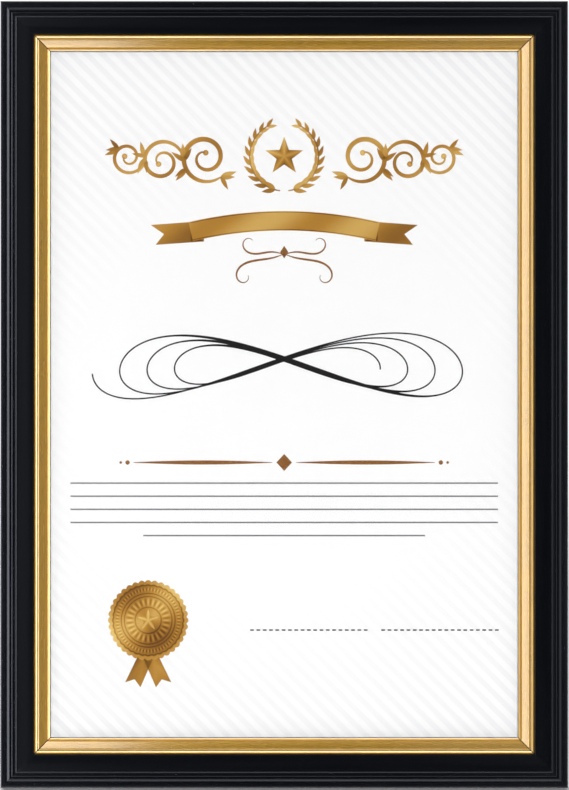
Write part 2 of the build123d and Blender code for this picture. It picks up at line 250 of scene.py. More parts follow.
@named
class StageSettings(bpy.types.PropertyGroup):
    """Camera, floor and light."""

    lens: bpy.props.FloatProperty(
        description="Focal length in millimetres", default=400, min=20, unit="CAMERA"
    )
    view_height: mm(324.25, "Height of the picture at the front of the frame")
    view_across: mm(0.12, "The picture's middle, right of the frame's middle")
    view_down: mm(0.22, "The picture's middle, below the frame's middle")
    floor: colour("#E1E1E0", "Pale studio floor")
    plain_level: light(0.13, "Even light on every side")
    front_level: light(0.912, "Daylight from the camera's side")
    top_level: light(0.35, "Daylight from above")
    back_level: light(0.6, "Daylight from behind")
    dark_level: light(0.02, "What polished faces show of the camera's side")
    screen_level: light(0.24, "Pale screens in front, on the right and two corners")
    bead_gap: mm(26, "Inner strips, outside the frame's outline")
    bead_width: mm(51, "Width of the inner strips")
    bead_ahead: mm(89, "Inner strips, in front of the frame's face")
    gilt_gap: mm(124, "Outer strips, outside the frame's outline")
    gilt_width: mm(174, "Width of the outer strips")
    gilt_ahead: mm(140, "Outer strips, in front of the frame's face")
    panel_gap: mm(300, "Upright panels, outside the frame's outline")
    panel_width: mm(200, "Width of the upright panels")
    panel_ahead: mm(40, "Middle of the panels, in front of the frame's face")
    bead_left: light(4.9, "Light along the left black beads")
    bead_right: light(0.75, "Light along the right black beads")
    bead_top: light(0.65, "Light along the top black beads")
    bead_bottom: light(1.2, "Light along the bottom black beads")
    gilt_left: light(2.7, "Light along the left gilt fillets")
    gilt_right: light(1.4, "Light along the right gilt fillets")
    gilt_top: light(3.2, "Light along the top gilt fillets")
    gilt_bottom: light(3.2, "Light along the bottom gilt fillets")
    panel_left: light(1.7, "Light in the right gilt cove, and in the left ends of two")
    panel_right: light(0.12, "Light in the left gilt cove")
    panel_ends: light(0.12, "Light in the right ends of the other two coves")


SETTINGS = {
    "stance": StanceSettings,
    "moulding": MouldingSettings,
    "slip": SlipSettings,
    "sheet": SheetSettings,
    "hardware": HardwareSettings,
    "finish": FinishSettings,
    "stage": StageSettings,
}


def settings(group):
    """One group of settings of this scene."""
    return getattr(bpy.context.scene, "certificate_frame_" + group)


# Places


def on_board(across, up, out):
    """Points in the row frame from board coordinates: across to the right and up from the rear
    bottom edge along the board, and out to the front. The board's axes are turned by the lean:
    up goes to (0, sin, cos) and out to (0, -cos, sin) of the lean angle."""
    stance = settings("stance")
    s, c = math.sin(stance.lean), math.cos(stance.lean)
    across, up, out = np.broadcast_arrays(across, up, out)
    return np.stack([across, stance.rear_edge + up * s - out * c, up * c + out * s], axis=-1)


def placed(local, origin, axes):
    """Points from local x, y and z: the origin plus each coordinate times its axis."""
    return np.asarray(local) @ np.array(axes, float) + np.asarray(origin, float)


def rear_axes(lean):
    """Axes on a board that leans back by an angle: to the right of someone behind it, up it,
    and out of its back."""
    s, c = math.sin(lean), math.cos(lean)
    return (-1, 0, 0), (0, s, c), (0, c, -s)


def unit(angle):
    """Points on the unit circle: (cos a, sin a)."""
    return np.stack([np.cos(angle), np.sin(angle)], axis=-1)


# Outlines and surfaces


def arc(start, end, rise, steps):
    """Points of a circular arc whose middle stands off its chord by rise, to the chord's left.
    With chord c the radius is (c²/4 + rise²) / (2 rise), and the half angle 2 atan(2 rise / c)."""
    start, end = np.asarray(start, float), np.asarray(end, float)
    chord = np.linalg.norm(end - start)
    along = (end - start) / chord
    left = np.array([-along[1], along[0]])
    radius = (chord**2 / 4 + rise**2) / (2 * rise)
    half = 2 * math.atan(2 * rise / chord)
    angle = np.linspace(-half, half, steps + 1)[:, None]
    middle = (start + end) / 2 - left * (radius - rise)
    return middle + radius * (np.sin(angle) * along + np.cos(angle) * left)


def ease(loop, radius, turn=math.radians(25)):
    """A closed outline with each corner that turns more than the given angle rounded. Each is
    replaced by five points of the parabola that leaves and meets its edges at radius away, or at
    0.4 of the edge if that is less: (1-t)² before + 2t(1-t) corner + t² after."""
    before = np.roll(loop, 1, axis=0) - loop
    after = np.roll(loop, -1, axis=0) - loop
    reach_before = np.linalg.norm(before, axis=1, keepdims=True)
    reach_after = np.linalg.norm(after, axis=1, keepdims=True)
    cosine = np.sum(-before * after, axis=1) / (reach_before * reach_after)[:, 0]
    sharp = np.arccos(np.clip(cosine, -1, 1)) > turn
    p = loop + before * np.minimum(radius / reach_before, 0.4)
    q = loop + after * np.minimum(radius / reach_after, 0.4)
    t = np.linspace(0, 1, 5)[None, :, None]
    curve = (1 - t) ** 2 * p[:, None] + 2 * t * (1 - t) * loop[:, None] + t**2 * q[:, None]
    curve[~sharp, 0] = loop[~sharp]
    use = np.zeros(curve.shape[:2], bool)
    use[:, 0] = True
    use[sharp] = True
    return curve[use]


def loop_normals(loop):
    """Outward unit normals of a clockwise closed outline: the left of the mean of its edges."""
    ahead = np.roll(loop, -1, axis=0) - loop
    ahead /= np.linalg.norm(ahead, axis=1, keepdims=True)
    mean = ahead + np.roll(ahead, 1, axis=0)
    mean /= np.maximum(np.linalg.norm(mean, axis=1, keepdims=True), 1e-9)
    return np.stack([-mean[:, 1], mean[:, 0]], axis=1)


def grid(rows, columns, close_rows=False):
    """Corner numbers of the quads of a grid whose columns, and rows if asked, wrap round."""
    i = np.arange(rows if close_rows else rows - 1)
    i, j = np.meshgrid(i, np.arange(columns), indexing="ij")
    below, beside = (i + 1) % rows * columns, (j + 1) % columns
    here = i * columns
    return np.stack([here + j, here + beside, below + beside, below + j], axis=-1).reshape(-1, 4)


def fan(middle, ring):
    """Triangles from one point to each two neighbours on a closed ring of points."""
    return np.stack([np.full(len(ring), middle), ring, np.roll(ring, -1)], axis=1)


def outwards(points, faces):
    """The faces turned to point out of a closed surface: where the sum of the tetrahedra from
    the middle to its fanned triangles is negative, each face is reversed."""
    middle = points.mean(axis=0)
    total = 0.0
    for group in faces:
        corners = points[group] - middle
        for k in range(1, corners.shape[1] - 1):
            triple = np.cross(corners[:, k], corners[:, k + 1])
            total += float(np.sum(corners[:, 0] * triple))
    return [group[:, ::-1] if total < 0 else group for group in faces]


def make_piece(name, shape, material, body, slot, node=None, sharp=45, maps=None, **marks):
    """A new piece that rides on a body and may stand for a CAD node. Its slot is not used. Its
    shape is its points, and its faces as arrays of triangles, quads or larger ones. Edges over an
    angle stay sharp. maps is a UV place for each point, and marks are named values for each point."""
    points, faces = shape
    mesh = bpy.data.meshes.new(name)
    corners = np.concatenate([group.ravel() for group in faces]).astype(np.int32)
    sizes = np.concatenate([np.full(len(group), group.shape[1]) for group in faces])
    mesh.vertices.add(len(points))
    mesh.vertices.foreach_set("co", np.asarray(points, np.float32).ravel())
    mesh.loops.add(len(corners))
    mesh.loops.foreach_set("vertex_index", corners)
    mesh.polygons.add(len(sizes))
    mesh.polygons.foreach_set("loop_start", (np.cumsum(sizes) - sizes).astype(np.int32))
    if maps is not None:
        layer = mesh.uv_layers.new(name="Surface")
        layer.data.foreach_set("uv", np.asarray(maps, np.float32)[corners].ravel())
    for mark, values in marks.items():
        attribute = mesh.attributes.new(mark, "FLOAT", "POINT")
        attribute.data.foreach_set("value", np.asarray(values, np.float32).ravel())
    mesh.update(calc_edges=True)
    if mesh.validate():
        raise RuntimeError(f"{name} has faces that don't hold together")
    mesh.shade_smooth()
    mesh.set_sharp_from_angle(angle=math.radians(sharp))
    mesh.materials.append(material)
    piece = bpy.data.objects.new(name, mesh)
    bpy.context.scene.collection.objects.link(piece)
    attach(piece, body)
    if node:
        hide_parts(node)


def sweep_side(side, loop, seam, groove):
    """One mitred side. Each point of the section slides along the side between the two mitres:
    along = (1 - 2t) times half the length less the point's distance from the outer edge, so the
    ends are cut at 45 degrees. The first and last rings are drawn in by a groove's depth. The
    result is turned about the frame's middle to its own side."""
    stance = settings("stance")
    spans = (stance.height / 2, stance.width / 2)
    half, reach = spans if side in ("left", "right") else spans[::-1]
    eased = loop - loop_normals(loop) * groove
    # Rings stand close together at the mitres, where the ends are drawn in
    t = np.concatenate([[0, 0.0006, 0.0013], np.linspace(0.02, 0.98, 25), [0.9987, 0.9994, 1]])
    rings = np.stack([eased, *([loop] * (len(t) - 2)), eased])
    along = (1 - 2 * t[:, None]) * (half - rings[..., 0] - seam / 2)
    radial = rings[..., 0] - reach
    turn = SIDE_TURNS[side]
    across = along * math.cos(turn) - radial * math.sin(turn)
    up = along * math.sin(turn) + radial * math.cos(turn) + stance.height / 2
    points = on_board(across, up, rings[..., 1]).reshape(-1, 3)
    rows, columns = rings.shape[:2]
    ends = np.stack([np.arange(columns)[::-1], np.arange(columns) + (rows - 1) * columns])
    girth = np.concatenate([[0], np.cumsum(np.linalg.norm(np.diff(loop, axis=0), axis=1))])
    maps = np.stack([along, np.broadcast_to(girth, along.shape)], axis=-1).reshape(-1, 2)
    return points, outwards(points, [grid(rows, columns), ends]), maps


def make_sides(piece, node, slot, material, section, outline, groove, bare_at, bare_rings):
    """Four mitred sides of one section. The given test of place and level picks the section's
    points that show the dark core: unfoiled core, and on the slips also core painted as shade in
    the gap beside the moulding and at the cut edge of the sight, a raw edge that also stands for
    the shade there. All of each ring in bare_rings shows it too."""
    loop = ease(np.concatenate([np.asarray(part, float) for part in outline]), section.arris)
    for side in SIDE_TURNS:
        *shape, maps = sweep_side(side, loop, section.seam, groove)
        bare = np.tile(bare_at(*loop.T).astype(float), (len(maps) // len(loop), 1))
        bare[bare_rings] = 1
        make_piece(piece + side, shape, material, "frame", slot, node + side, 35, maps, bare=bare)


def lathe(profile, steps, height=None):
    """A closed round solid from a profile of radius and height that starts and ends on its axis.
    Each point is (r cos a, r sin a, h), with h changed by height(x, y, h) if that is given."""
    profile = np.asarray(profile, float)
    angle = np.arange(steps) * 2 * math.pi / steps
    rings = profile[1:-1]
    x, y = rings[:, :1] * np.cos(angle), rings[:, :1] * np.sin(angle)
    body = np.stack([x, y, np.broadcast_to(rings[:, 1:], x.shape)], axis=-1).reshape(-1, 3)
    points = np.concatenate([body, [[0, 0, profile[0, 1]], [0, 0, profile[-1, 1]]]])
    if height:
        points[:, 2] = height(*points.T)
    ring, count = np.arange(steps), len(body)
    fans = [fan(count, ring)[:, [0, 2, 1]], fan(count + 1, count - steps + ring)]
    return points, [grid(len(rings), steps), np.concatenate(fans)]


def repeated(shape, placements):
    """Copies of one closed shape at several origins and axes, as one set of points and faces,
    which the first copy's own volume turns outwards."""
    points, faces = shape
    copies = [placed(points, origin, axes) for origin, axes in placements]
    shifts = np.arange(len(copies))[:, None, None] * len(points)
    faces = outwards(copies[0], faces)
    return np.concatenate(copies), [
        (group + shifts).reshape(-1, group.shape[1]) for group in faces
    ]


# Inked shapes, drawn in millimetres from the middle of the sheet, with levels over its face and
# tones from 0, dark, to 1, pale. Each is its points, quads, triangles and tones


def stroke(path, half_width, tone=0.5, level=0.018):
    """An inked stroke. Its edges lie a half width to each side of the path, square to its local
    direction, and its top climbs a little on its way, so that crossings don't lie flush."""
    path = np.asarray(path, float)
    steps = len(path)
    ahead = np.gradient(path, axis=0)
    ahead /= np.maximum(np.linalg.norm(ahead, axis=1, keepdims=True), 1e-9)
    left = np.stack([-ahead[:, 1], ahead[:, 0]], axis=1)
    left *= np.broadcast_to(half_width, steps)[:, None]
    climb = np.linspace(level, level + CLIMB, steps)[:, None]
    sunk = np.full((steps, 1), SUNK)
    rings = [(path + left, sunk), (path + left, climb), (path - left, climb), (path - left, sunk)]
    points = np.stack([np.concatenate(ring, axis=1) for ring in rings], axis=1).reshape(-1, 3)
    ring = np.arange(4)
    quads = np.concatenate([grid(steps, 4), [ring[::-1], ring + 4 * (steps - 1)]])
    quads, triangles = outwards(points, [quads, np.zeros((0, 3), int)])
    return points, quads, triangles, np.full(len(points), float(tone))


def plate(outline, middle, tone=0.5, level=0.018, peak=0.018, peak_tone=None):
    """An inked shape with straight edges: walls on its outline, and a fan of triangles from a
    middle point above and another below. A higher peak makes it faceted."""
    count = len(outline)
    low, high = (np.c_[outline, np.full(count, at)] for at in (SUNK, level))
    points = np.concatenate([low, high, [[*middle, peak], [*middle, SUNK]]])
    ring = np.arange(count)
    fans = [fan(2 * count, count + ring), fan(2 * count + 1, ring)[:, [0, 2, 1]]]
    tones = np.full(len(points), float(tone))
    tones[2 * count] = tone if peak_tone is None else peak_tone
    return points, *outwards(points, [grid(2, count), np.concatenate(fans)]), tones


def dot(middle, radius, tone=0.5):
    """A round dot: middle + radius (cos a, sin a)."""
    ring = radius * unit(np.linspace(0, 2 * math.pi, 24, endpoint=False))
    return plate(ring + middle, middle, tone, 0.02, 0.03, min(tone + 0.25, 1))


def running_curve(start, heading, size, bends, steps=90):
    """A path from its own bend: the heading is the running sum of the bend, in radians over the
    whole path and read off between evenly spaced values, and the place is the running sum of
    (cos heading, sin heading)."""
    t = np.linspace(0, 1, steps)
    bend = np.interp(t, np.linspace(0, 1, len(bends)), bends)
    turned = np.concatenate([[0], np.cumsum((bend[1:] + bend[:-1]) / 2 * np.diff(t))])
    step = unit(heading + (turned[1:] + turned[:-1]) / 2) * size / (steps - 1)
    return np.asarray(start, float) + np.concatenate([[[0, 0]], np.cumsum(step, axis=0)])


def swelling(steps, thick, thin, early=0.8):
    """Half widths that swell and thin again: thin + (thick - thin) sin(pi t^early)."""
    t = np.linspace(0, 1, steps)
    return thin + (thick - thin) * np.sin(math.pi * t**early)


def leaf(root, heading, size, fat, bend, flip, tone=0.5):
    """A leaf: a short curve whose half width swells early and ends in a point."""
    path = running_curve(root, heading, size, (bend, -0.6 * bend), 24) * [flip, 1]
    return stroke(path, swelling(24, fat * size, 0.05, 0.75), tone)


def spiral(middle, radius, start, sweep, steps=120):
    """A spiral inwards: the radius times 1 - 0.8 t^1.15, at the angle start + sweep t."""
    t = np.linspace(0, 1, steps)
    reach = radius * (1 - 0.8 * t**1.15)
    return reach[:, None] * unit(start + sweep * t) + middle


def star(middle, radius, inner, tone=0.5, level=0.02):
    """A five-pointed star, faceted from its middle."""
    point = np.arange(10)
    reach = np.where(point % 2 == 0, radius, inner)[:, None]
    outline = reach * unit(point * math.pi / 5 + math.pi / 2) + middle
    shape = plate(outline, middle, tone, level, level + 0.016, tone + 0.2)
    # Its points are pale, and the notches between them dark
    shape[-1][10:20:2], shape[-1][11:20:2] = tone + 0.25, tone - 0.3
    return shape


def wreath(middle, radius, size):
    """Two laurel branches that rise round a middle, each a stem with ten pairs of leaves, one on
    each side of it. Angles are in radians from the right, and the top leaves are a quarter shorter
    than the lowest."""
    shapes = []
    for flip in (1, -1):
        stem = radius * unit(np.linspace(-1.45, 1.12, 60)) * [flip, 1] + middle
        shapes.append(stroke(stem, 0.28, 0.35))
        for part in np.linspace(0, 1, 10):
            at = -1.3 + 2.35 * part
            root = middle + radius * unit(at)
            for turn, tone in ((-0.55, 0.45), (0.55, 0.7)):
                long, heading = size * (1 - 0.25 * part), at + math.pi / 2 + turn
                shapes.append(leaf(root, heading, long, 0.17, -turn, flip, tone))
    return shapes


def scrollwork(flip):
    """Three spirals in a row, each smaller and turning the other way. Each starts where the
    one before it heads straight up or down, so that they meet as one vine."""
    steps = 120
    sweeps = (2 * math.pi * 1.62, -2 * math.pi * 1.6, 2 * math.pi * 1.55)
    first = spiral((32.5, 97.5), 10.2, math.radians(-128), sweeps[0])
    fork = first[int(steps * math.radians(118) / sweeps[0])]
    second = spiral(fork + [9, 0], 9, math.pi, sweeps[1])
    next_fork = second[int(steps * math.radians(172) / -sweeps[1])]
    third = spiral(next_fork + [7, 0.4], 7, math.pi, sweeps[2])
    shapes = []
    for path, thick in ((first, 1.0), (second, 0.85), (third, 0.7)):
        shapes.append(stroke(path * [flip, 1], swelling(steps, thick, 0.3, 0.6)))
        shapes.append(dot(path[-1] * [flip, 1], 1.15, 0.6))
    # Where leaves grow, their headings in degrees, and the length of the first in millimetres
    for root, headings, size in (
        (first[0], (150, 190, 228), 7),
        (fork, (75, 48, 108), 7.5),
        (next_fork, (-75, -48, -108), 7),
        (first[20], (-60, -25), 6.5),
        (second[34], (62, 25), 6.5),
        (third[48], (-35, 5, 35), 6.5),
    ):
        for order, heading in enumerate(headings):
            long, bend = size * (0.85 if order else 1), 0.8 * (-1) ** order
            tone = 0.6 - 0.12 * order
            shapes.append(leaf(root, math.radians(heading), long, 0.15, bend, flip, tone))
    return shapes


def ribbon():
    """A blank ribbon along the arch y = 71.5 - 0.003 x^2, with forked ends behind it."""
    x = np.linspace(-38.5, 38.5, 60)
    arch = np.stack([x, 71.5 - 0.003 * x * x], axis=1)
    shapes = [stroke(arch, 4, 0.62, 0.026)]
    shapes += [stroke(arch + [0, lift], 0.16, 0.2, 0.032) for lift in (3.6, -3.6)]
    tail = np.array([(33, 63), (53, 61.6), (49.5, 66), (55, 69.8), (33, 71.4)])
    fold = np.array([(33, 63), (38.5, 63.1), (38.5, 66.9)])
    for side in (1, -1):
        shapes.append(plate(tail * [side, 1], (40 * side, 67), 0.4, 0.012, 0.012, 0.35))
        shapes.append(plate(fold * [side, 1], (36.9 * side, 64.2), 0.0, 0.02, 0.02))
    return shapes


def figure_eights():
    """A penman's flourish of figure eights within each other: x runs as sin a and y as sin 2a, for
    three and a half turns of a, both shrinking by half on the way. The stroke is broad where the
    pen is drawn one way."""
    t = np.linspace(0, 1, 900)
    a = math.pi * (7 * t - 0.5)
    x = 79 * (1 - 0.5 * t) * np.sin(a)
    y = 12 + 14 * (1 - 0.5 * t) * np.sin(2 * a + 0.25)
    path = np.stack([x, y], axis=1)
    ahead = np.gradient(path, axis=0)
    slant = np.arctan2(ahead[:, 1], ahead[:, 0]) - math.radians(20)
    return stroke(path, 0.3 + 0.95 * np.clip(np.sin(slant), 0, 1) ** 2, 0.5, 0.015)


def seal(middle, radius):
    """A foil seal on two ribbon ends. Its edge is radius (1 + 0.05 |cos 18a|), and its tone
    follows raised bands exp(-((ring - at) / width)^2), petals of cos 24a, beads of cos 60a, and
    light that turns with the angle as cos 2a."""
    tail = np.array([(1, -8), (9.5, -25.5), (5.6, -24.3), (3.2, -27.6), (-4.5, -10)])
    shapes = []
    for side in (1, -1):
        centre = np.array((2.6 * side, -17)) + middle
        shapes.append(plate(tail * [side, 1] + middle, centre, 0.3, 0.006, 0.006, 0.5))
    ring = np.linspace(0, 1, 61)[1:, None]
    angle = np.linspace(0, 2 * math.pi, 217)[None, :-1]
    edge = 1 + 0.05 * np.abs(np.cos(18 * angle)) * ring**8

    def band(at, width):
        return np.exp(-(((ring - at) / width) ** 2))

    height = 0.02 + 0.012 * band(0.66, 0.03) + 0 * angle
    disc = np.concatenate([(radius * ring * edge)[..., None] * unit(angle), height[..., None]], 2)
    tone = 0.5 + 0.16 * np.cos(2 * angle - 1) + 0 * ring
    petal = np.clip((ring - 0.36) / 0.24, 0, 1)
    tone = tone + 0.28 * np.cos(24 * angle) * np.sin(petal * math.pi)
    beads = band(0.8, 0.04) * (0.35 * np.cos(60 * angle))
    rings = sum(band(at, 0.012) for at in (0.34, 0.62, 0.7, 0.9))
    tone = np.clip(tone + beads - 0.45 * rings + 0.2 * (ring > 0.93), 0, 1)
    rows, columns = tone.shape
    rim = disc[-1] * [1, 1, 0] + [0, 0, SUNK]
    points = np.concatenate([disc.reshape(-1, 3), rim, [[0, 0, 0.02], [0, 0, SUNK]]])
    points[:, :2] += middle
    here, top = np.arange(columns), len(points) - 2
    fans = [fan(top, here), fan(top + 1, rows * columns + here)[:, [0, 2, 1]]]
    faces = [grid(rows + 1, columns)[:, ::-1], np.concatenate(fans)]
    tones = np.concatenate([tone.ravel(), np.full(columns, 0.3), [0.5, 0.3]])
    shapes.append((points, *outwards(points, faces), tones))
    return [*shapes, star(middle, 4.6, 1.9, 0.62, 0.026)]


def print_piece(name, shapes, material):
    """Lays inked shapes on the face of the sheet as one piece."""
    points, *faces, tones = zip(*shapes)
    shifts = np.cumsum([0, *map(len, points[:-1])])
    faces = [np.concatenate([own + shift for own, shift in zip(kind, shifts)]) for kind in faces]
    x, y, h = (np.concatenate(points) * MM).T
    middle, face = settings("stance").height / 2, settings("sheet").face_level
    shape = on_board(x, middle + y, face + h), faces
    make_piece(name, shape, material, "frame", "white_card", sharp=30, tone=np.concatenate(tones))


# Materials


def add(tree, kind, inputs=(), output=None, **options):
    """Adds a shader node, and gives its first live output or the one named. Options are its own
    settings. Inputs are named, or else fill its live sockets in order, such as MapRange's value,
    from min, from max, to min and to max. A socket given there is linked."""
    made = tree.nodes.new("ShaderNode" + kind)
    for option, value in options.items():
        setattr(made, option, value)
    if not isinstance(inputs, dict):
        inputs = dict(zip([k for k, socket in enumerate(made.inputs) if socket.enabled], inputs))
    for key, value in inputs.items():
        if isinstance(value, bpy.types.NodeSocket):
            tree.links.new(value, made.inputs[key])
        else:
            made.inputs[key].default_value = value
    live = [socket for socket in made.outputs if socket.enabled and output in (None, socket.name)]
    return live[0] if live else None


MATERIALS = {}


def material_of(build, name=None, *details):
    """The material that a function builds, made once for each name. The function gets a call
    that adds a node, the object's coordinates and the details, and gives back the surface."""
    name = name or build.__name__
    if name not in MATERIALS:
        MATERIALS[name] = material = bpy.data.materials.new(name)
        material.use_nodes = True
        material.node_tree.nodes.clear()
        node = partial(add, material.node_tree)
        place = node("TexCoord", output="Object")
        node("OutputMaterial", {"Surface": build(node, place, *details)})
    return MATERIALS[name]


def dress(material, *nodes):
    """Gives carried CAD nodes a material."""
    for node in nodes:
        data = frame["nodes"][node].data
        data.materials.clear()
        data.materials.append(material)


def set_stops(ramp, low, middle, high):
    """Sets the three stops of a colour ramp, each a position and a colour."""
    for element, (position, shade) in zip(ramp.elements, (low, high)):
        element.position, element.color = position, shade
    ramp.elements.new(middle[0]).color = middle[1]


def satin_black_foil(node, place):
    """Satin black printed foil wrapped on foamed polystyrene moulding: a deep black that picks up
    soft grey highlights along its beads. It has faint lines of the extruder's die along each
    length, small specks of dust under the foil, and a bare foamed core on the back."""
    finish, surface = settings("finish"), node("UVMap", uv_map="Surface")
    bare = node("Attribute", output="Fac", attribute_name="bare")
    # Die lines are about 0.2 mm apart on the real thing, and 0.8 mm here, so that they show
    stretched = node("Mapping", {"Vector": surface, "Scale": (9, 1300, 1)})
    lines = node("TexNoise", [stretched, 1, 3, 0.6])
    # Paler streaks are about 60 mm long and 6 mm wide, specks 0.7 mm and foam pores 0.5 mm
    streak_place = node("Mapping", {"Vector": surface, "Scale": (16, 160, 1)})
    streaks = node("MapRange", [node("TexNoise", [streak_place, 1, 4]), 0.35, 0.75, 0, 0.6])
    specks = node("MapRange", [node("TexNoise", [place, 1500, 1]), 0.74, 0.8])
    streaked = node("Mix", [streaks, finish.foil, finish.foil_light], data_type="RGBA")
    specked = node("Mix", [specks, streaked, finish.foil_light], data_type="RGBA")
    chalk = node("MapRange", [node("TexNoise", [place, 330, 5, 0.7]), 0.35, 0.7])
    foam = node("Mix", [chalk, finish.core, linear("#2B2B2E")], data_type="RGBA")
    pores = node("Math", [node("TexVoronoi", [place, 1900]), 3], operation="MULTIPLY")
    satin = node("MapRange", [lines, 0.3, 0.7, 0.19, 0.27])
    grain = node("Mix", [bare, lines, pores])
    return node("BsdfPrincipled", {
        "Base Color": node("Mix", [bare, specked, foam], data_type="RGBA"),
        "Roughness": node("MapRange", [bare, 0, 1, satin, 0.75]),
        "IOR": 1.5,
        "Specular Tint": finish.foil_tint,
        "Normal": node("Bump", {"Height": grain, "Strength": 0.35, "Distance": 0.04 * MM}),
    })


def stamped_gold_foil(node, place):
    """Hot-stamped gold foil on the slip: a metallised film that looks deep ochre where nothing
    shines on it, toned darker in long streaks, under a hard glossy lacquer whose pale glints run
    along the fillets. The core shows dark where the foil is missing, and its dark colour is also
    painted as shade in the gap beside the moulding and on the cut edge at the sight."""
    finish, surface = settings("finish"), node("UVMap", uv_map="Surface")
    # Mask of the dark core: unfoiled core at the mitres, flange and underside, painted shade in the
    # gap beside the moulding, and the raw cut edge at the sight, which also stands for the shade
    # there
    bare = node("Attribute", output="Fac", attribute_name="bare")
    # Streaks are 8 to 30 mm long and about 1 mm wide, ripples 9 mm by 2 mm, the grain 0.4 mm
    streak_place = node("Mapping", {"Vector": surface, "Scale": (70, 900, 1)})
    streaks = node("TexNoise", [streak_place, 1, 5, 0.55])
    tone = node("MapRange", [streaks, 0.32, 0.68])
    gold = node("Mix", [tone, finish.gilt_deep, finish.gilt], data_type="RGBA")
    grain = node("TexNoise", [place, 2600, 2])
    fine = node("Bump", {"Height": grain, "Strength": 0.2, "Distance": 0.03 * MM})
    ripple_place = node("Mapping", {"Vector": surface, "Scale": (110, 500, 1)})
    ripple = node("TexNoise", [ripple_place, 1, 2])
    rippled = {"Height": ripple, "Strength": 0.06, "Distance": 0.3 * MM, "Normal": fine}
    return node("BsdfPrincipled", {
        "Base Color": node("Mix", [bare, gold, finish.core], data_type="RGBA"),
        "Metallic": node("MapRange", [bare, 0, 1, 0.5, 0]),
        "Roughness": node("MapRange", [streaks, 0.3, 0.7, 0.3, 0.2]),
        "Normal": node("Bump", rippled),
        "Coat Weight": node("MapRange", [bare, 0, 1, 1, 0]),
        "Coat Roughness": 0.14,
        "Coat IOR": 2.6,
    })


def smooth_white_card(node, place):
    """Smooth white certificate card: nearly white, with the faint cloudiness of its fibres, and
    pale grey printed stripes 4.5 mm apart that fall to the right and fade at the middle."""
    finish, stance = settings("finish"), settings("stance")
    # Clouds are about 11 mm wide, and fibres 0.6 mm, so that they show
    clouds = node("MapRange", [node("TexNoise", [place, 90, 6]), 0, 1, 0, 0.1])
    fibres = node("TexNoise", [place, 1800, 3])
    middle = tuple(on_board(0, stance.height / 2, 0))
    from_middle = node("VectorMath", [place, middle], operation="SUBTRACT")
    slanted = np.add((1, 0, 0), rear_axes(stance.lean)[1]) / math.sqrt(2)
    phase = tuple(slanted * 2 * math.pi / (4.5 * MM))
    across = node("VectorMath", [from_middle, phase], operation="DOT_PRODUCT")
    stripe = node("MapRange", [node("Math", [across], operation="SINE"), -0.15, 0.15])
    # The middle has no stripes, and they come up between 70 and 160 mm from it
    reach = node("VectorMath", [from_middle], operation="LENGTH")
    fade = node("MapRange", [reach, 0.07, 0.16, 0, 0.8])
    printed = node("Math", [stripe, fade], operation="MULTIPLY")
    tone = node("Math", [printed, clouds], operation="MAXIMUM")
    return node("BsdfPrincipled", {
        "Base Color": node("Mix", [tone, finish.paper, finish.stripe], data_type="RGBA"),
        "Roughness": 0.6,
        "IOR": 1.45,
        "Normal": node("Bump", {"Height": fibres, "Strength": 0.1, "Distance": 0.03 * MM}),
    })


def gold_ink(node, place):
    """Gold printing ink: a bronze powder ink that prints as a run from deep brown to pale gold.
    Its tone follows each shape's own mark and slow bands across the sheet, about 24 mm apart."""
    across = node("VectorMath", [place, (150, 0, -210)], operation="DOT_PRODUCT")
    drift = node("MapRange", [node("Math", [across], operation="SINE"), -1, 1, -0.16, 0.16])
    # Grains of powder are about 0.3 mm, so that they show
    powder = node("MapRange", [node("TexNoise", [place, 3000, 2]), 0, 1, -0.08, 0.08])
    tone = node("Attribute", output="Fac", attribute_name="tone")
    banded = node("Math", [tone, drift], operation="ADD")
    ramp = node("ValToRGB", [node("Math", [banded, powder], operation="ADD")])
    stops = (0.05, "#6F4316"), (0.5, "#BE8A36"), (1, "#F0CC78")
    set_stops(ramp.node.color_ramp, *((at, linear(code)) for at, code in stops))
    plain = {"Roughness": 0.42, "Metallic": 0.12, "IOR": 1.5}
    return node("BsdfPrincipled", {"Base Color": ramp, **plain})


def plain_ink(node, place, code, pale):
    """Offset printing ink in one colour, a little uneven, in spots of about 0.6 mm, where the
    card takes less of it."""
    mottle = node("TexNoise", [place, 1600, 3])
    thin = node("MapRange", [mottle, 0.45, 0.75])
    base = node("Mix", [thin, linear(code), linear(pale)], data_type="RGBA")
    return node("BsdfPrincipled", {"Base Color": base, "Roughness": 0.5, "IOR": 1.5})


def clear_float_glass(node, place):
    """Clear float glass, 2 mm: it lets the sheet through and mirrors a little at its faces, more
    so at a slant: 0.04 + 0.96 (1 - cos a)^5 of the light, at the same angle either way."""
    # Faint waves from the float bath are about 110 mm long
    draw = node("TexNoise", [place, 9, 1])
    wave = node("Bump", {"Height": draw, "Strength": 0.04, "Distance": 0.4 * MM})
    clear = node("BsdfTransparent", [linear("#FFFFFF")])
    mirror = node("BsdfGlossy", {"Roughness": 0.01, "Normal": wave})
    slant = node("LayerWeight", [0.5], output="Facing")
    steep = node("Math", [slant, 5], operation="POWER")
    return node("MixShader", [node("MapRange", [steep, 0, 1, 0.04, 1]), clear, mirror])


